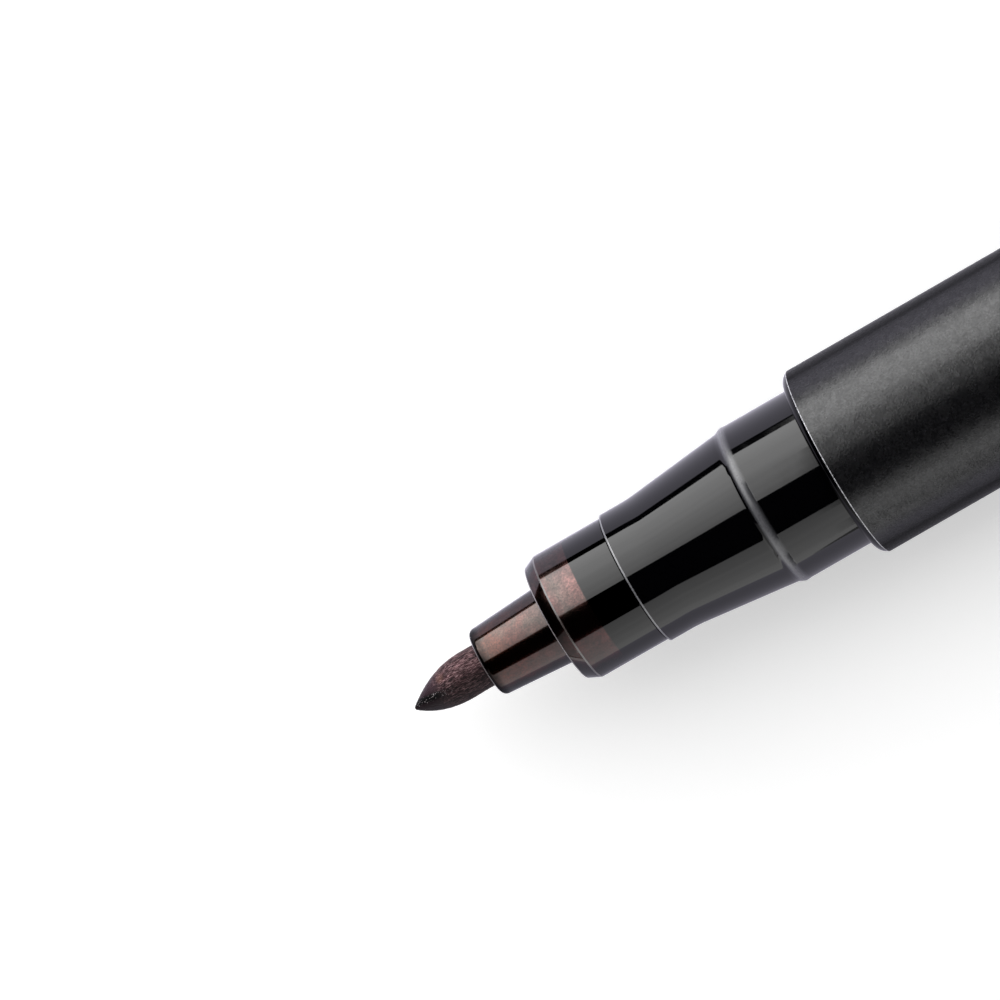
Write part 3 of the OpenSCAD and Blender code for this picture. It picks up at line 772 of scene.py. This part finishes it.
armStops = [bendAt - armLength * i / k["armSteps"] for i in range(1, k["armSteps"])]
arcStart, arcRun = k["bumpArc"]
tipStops = [bumpAt + k["bumpR"] * cos(pi * (arcStart + arcRun * i / k["bumpSteps"])) for i in range(k["bumpSteps"] + 1)]
for station in armStops + tipStops:
    drop = sqrt(max(0.0, k["bumpR"] ** 2 - (station - bumpAt) ** 2))
    nextTop = armTop if station > bumpAt else min(armTop, k["bumpHeight"] + drop)
    nextBottom = min(armTop - k["thick"], k["bumpHeight"] - drop) if station < bumpAt + k["bumpR"] else bottom
    narrower = halfWidth(station) / halfWidth(last)
    bpy.ops.mesh.extrude_region_move(
        TRANSFORM_OT_translate={"value": ((station - last) * mm, 0, (nextTop - top) * mm)})
    bpy.ops.transform.resize(value=(1, narrower, (nextTop - nextBottom) / (top - bottom)),
                             center_override=(at(station), 0, axisZ + nextTop * mm))
    last, top, bottom = station, nextTop, nextBottom
closeMesh()
capClip.data.materials.append(satinBlack)
applyModifier(capClip, "BEVEL", width=k["edge"] * mm, segments=3, limit_method="ANGLE",
              angle_limit=radians(k["edgeFrom"]))
pickOnly()
bpy.ops.mesh.primitive_cylinder_add(vertices=64, radius=k["stemR"] * mm, depth=k["stemCut"] * mm,
                                    rotation=(0, pi / 2, 0), location=(at(k["root"]), 0, axisZ))
cutAway(capClip, bpy.context.object)
finishPiece(capClip, "cap", "clip_plastic", "cap_clip")


# cap button: closes the cap's end and holds the clip's tongue
button = dict(
    front=endsOf("cap_button")[0], rear=endsOf("cap_button")[1], seat=128.5, stemR=1.5, headR=4.3, edgeRound=0.35,
    dishR=3.3, dishDepth=0.1, dishSteps=6, dishOpen=0.3, lead=0.2,
)
b = button
dishRings = []
for i in range(b["dishSteps"] + 1):             # shallow hollow face, a cosine from its rim to its middle
    part = i / (b["dishSteps"] + b["dishOpen"])
    dishRings.append((b["rear"] - b["dishDepth"] * (1 - cos(pi * part)) / 2, b["dishR"] * (1 - part)))
capButton = turnPiece("capButton", [
    (b["front"], b["stemR"]), (b["seat"], b["stemR"]), (b["seat"], b["headR"]), (b["rear"], b["headR"]), *dishRings],
    [polishedBlack], closed=False)
roundRing(capButton, b["rear"], b["headR"], b["edgeRound"], steps=5)
roundRing(capButton, b["front"], b["stemR"], b["lead"], steps=2)
finishPiece(capButton, "cap", "button_plastic", "cap_button")

# reservoir: the solids' own shape is right, so they only take a finish
for node, material in (("reservoir_core", soakedFibre), ("reservoir_film", clearFilm)):
    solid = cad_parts[node]
    solid.data.materials.clear()
    solid.data.materials.append(material)
print("pieces ready")


# stage: floor, softboxes and cards in a tunnel about the pen's axis
lilac = (0.96, 0.93, 1.1, 1)                    # tint of the paper where only the pen's edges mirror it
stage = dict(
    radius=500.0, front=-520.0, rear=520.0, gap=5,   # gap: mm between panels that lie behind each other
    upper=(8, 83.2), lower=(-92, -44), cloth=(-92, 92),   # degrees from straight up, + towards +Y
    frontFlags=((70, 92), (-92, -79)), frontFlagsEnd=-350.0,   # cards over the softboxes' front corners
    flags=((8, 38), (-51, -44), (-92, -76)),    # cards that soften the light on the barrel
    barrelFill=(83.2, 92), flagFront=-59.6,
    floorNear=(130, -40), floorFar=500,         # mm from the axis where the floor cards meet
    cardZ=0.1, barrelCardFront=-8,
    chamferCard=(-165, -330),                   # mm in x and in y to which it reaches; it keeps the chamfer dark
    frontCards=(-600, -150, 800), frontHeight=1200,   # mm in y where the upright cards start, meet and end
    lights={                                    # strength at the axis, and 1 m from it along a direction
        "black card": dict(low=0.0, high=0.0),
        "grey card": dict(low=0.3, high=0.3),
        "pale card": dict(low=1.9, high=1.9),
        "white card": dict(low=1.5, high=1.5),
        "dim card": dict(low=0.0, high=1.6, direction=(0, -1, 0)),
        "upper softbox": dict(low=1.7, high=7.0, direction=(0.3, 1, 0), onDiffuse=0.58),
        "lower softbox": dict(low=0.1, high=2.75, direction=(0, -1, 0), onDiffuse=0.58),
        "upper edge card": dict(low=0.92, high=0.92, colour=lilac),
        "lower edge card": dict(low=0.27, high=15.0, direction=(0, -1, 0), colour=lilac)},
    folds=(2.0, 22.0, 22.0), foldShade=(0.95, 1.05),   # per m in the softboxes' cloth, and the shade they give
    paper="#ececec", paperLift=0.38,            # the camera sees the paper brighter than it is, so that it is white
    floorSize=6.0, roomOnDiffuse=0.4,
)


def emitting(name, low, high, direction=(0, 1, 0), colour=(1, 1, 1, 1), onDiffuse=1.0):
    # onDiffuse: share of the strength that lights matte surfaces
    material, tree, where = newMaterial(name)
    reach = addNode(tree, "VectorMath", (where, direction), operation="DOT_PRODUCT")
    level = addNode(tree, "MapRange", (reach, 0.0, 1.0, low, high))
    folds = addNode(tree, "Mapping", {"Vector": where, "Scale": stage["folds"]})
    uneven = addNode(tree, "TexNoise", {"Vector": folds, "Scale": 1.0, "Detail": 2.0})
    cloth = addNode(tree, "MapRange", (uneven, *noiseSpan, *stage["foldShade"]))
    level = addNode(tree, "Math", (level, cloth), operation="MULTIPLY")
    glossy = addNode(tree, "LightPath").outputs["Is Glossy Ray"]
    share = addNode(tree, "MapRange", (glossy, 0.0, 1.0, onDiffuse))
    strength = addNode(tree, "Math", (level, share), operation="MULTIPLY")
    emission = addNode(tree, "Emission", (colour, strength))
    addNode(tree, "OutputMaterial", [emission])
    return material


lights = {name: emitting(name, **settings) for name, settings in stage["lights"].items()}


def intoStage(panel, name, light, onlyReflected=True):
    panel.name = name
    panel.data.materials.append(lights[light])
    panel.visible_camera = False
    if onlyReflected:
        panel.visible_diffuse = False
        panel.visible_shadow = False
        panel.visible_transmission = False


def tunnelPanel(name, light, angles, radius, front=stage["front"], rear=stage["rear"], onlyReflected=True):
    pickOnly()
    bpy.ops.mesh.primitive_cylinder_add(vertices=360, radius=radius * mm, depth=(rear - front) * mm,
                                        end_fill_type="NOTHING", rotation=(0, pi / 2, 0),
                                        location=(at((front + rear) / 2), 0, axisZ))
    panel = bpy.context.object
    bpy.ops.object.transform_apply(location=True, rotation=True, scale=True)
    shape = editOnly(panel, "FACE")
    for face in shape.faces:
        middle = face.calc_center_median()
        face.select = not angles[0] < degrees(atan2(middle.y, middle.z - axisZ)) < angles[1]
    bmesh.update_edit_mesh(panel.data)
    bpy.ops.mesh.delete(type="FACE")
    bpy.ops.object.mode_set(mode="OBJECT")
    intoStage(panel, name, light, onlyReflected)


def flatCard(name, light, low, high):           # between two corners in mm; it stands up where both have the same x
    pickOnly()
    upright = low[0] == high[0]
    low, high = Vector(low) * mm, Vector(high) * mm
    bpy.ops.mesh.primitive_plane_add(size=1.0, rotation=(0, pi / 2 if upright else 0, 0), location=(low + high) / 2)
    card = bpy.context.object
    size = high - low
    card.scale = (size.z if upright else size.x, size.y, 1)
    bpy.ops.object.transform_apply(location=True, rotation=True, scale=True)
    intoStage(card, name, light)


inside, outside = stage["radius"] - stage["gap"], stage["radius"] + stage["gap"]
flagUp, flagDown = stage["frontFlags"]
tunnelPanel("upperSoftbox", "upper softbox", stage["upper"], stage["radius"], onlyReflected=False)
tunnelPanel("lowerSoftbox", "lower softbox", stage["lower"], stage["radius"], onlyReflected=False)
tunnelPanel("blackCloth", "black card", stage["cloth"], outside)
tunnelPanel("frontFlagUp", "black card", flagUp, inside, rear=stage["frontFlagsEnd"])
tunnelPanel("frontFlagDown", "dim card", flagDown, inside, rear=stage["frontFlagsEnd"])
for number, flag in enumerate(stage["flags"]):
    tunnelPanel("barrelFlag%d" % number, "black card", flag, inside, front=stage["flagFront"])
tunnelPanel("barrelFill", "pale card", stage["barrelFill"], inside, front=stage["flagFront"])

x0, x1, barrelX = [at(stage[end]) / mm for end in ("front", "rear", "barrelCardFront")]
nearUp, nearDown = stage["floorNear"]
far, height = stage["floorFar"], stage["frontHeight"]
z, over = stage["cardZ"], 2 * stage["cardZ"]
chamferX, chamferY = stage["chamferCard"]
side0, sideMeet, side1 = stage["frontCards"]
flatCard("floorCardUp", "black card", (x0, nearUp, z), (x1, far, z))
flatCard("floorCardDown", "white card", (x0, -far, z), (x1, nearDown, z))
flatCard("edgeCardUp", "upper edge card", (x0, 0, z), (x1, nearUp, z))
flatCard("edgeCardDown", "lower edge card", (x0, nearDown, z), (x1, 0, z))
flatCard("barrelCardDown", "grey card", (barrelX, -far, over), (x1, nearDown, over))
flatCard("barrelCardUp", "pale card", (barrelX, nearUp, over), (x1, far, over))
flatCard("chamferCard", "grey card", (x0, chamferY, over), (chamferX, nearDown, over))
flatCard("frontCardUp", "black card", (x0, sideMeet, 0), (x0, side1, height))
flatCard("frontCardDown", "dim card", (x0, side0, 0), (x0, sideMeet, height))

pickOnly()
bpy.ops.mesh.primitive_plane_add(size=stage["floorSize"], location=(0, 0, 0))
floor = bpy.context.object
floor.name = "paleFloor"
paper = bpy.data.materials.new("pale paper")
tree = emptyTree(paper)
matte = addNode(tree, "BsdfDiffuse", {"Color": linear(stage["paper"])})
ray = addNode(tree, "LightPath").outputs
seen = ray["Is Camera Ray"]
for kind in ("Is Glossy Ray", "Is Transmission Ray"):   # what mirrors the paper or looks through shows it as white too
    seen = addNode(tree, "Math", (seen, ray[kind]), operation="MAXIMUM")
lift = addNode(tree, "Math", (seen, stage["paperLift"]), operation="MULTIPLY")
glow = addNode(tree, "Emission", {"Strength": lift})
both = addNode(tree, "AddShader", (matte, glow))
addNode(tree, "OutputMaterial", [both])
floor.data.materials.append(paper)

world = bpy.data.worlds.new("whiteRoom")
scene.world = world
tree = emptyTree(world)
diffuse = addNode(tree, "LightPath").outputs["Is Diffuse Ray"]
level = addNode(tree, "MapRange", (diffuse, 0.0, 1.0, 1.0, stage["roomOnDiffuse"]))
shine = addNode(tree, "Background", ((1, 1, 1, 1), level))
addNode(tree, "OutputWorld", [shine])
print("stage ready")
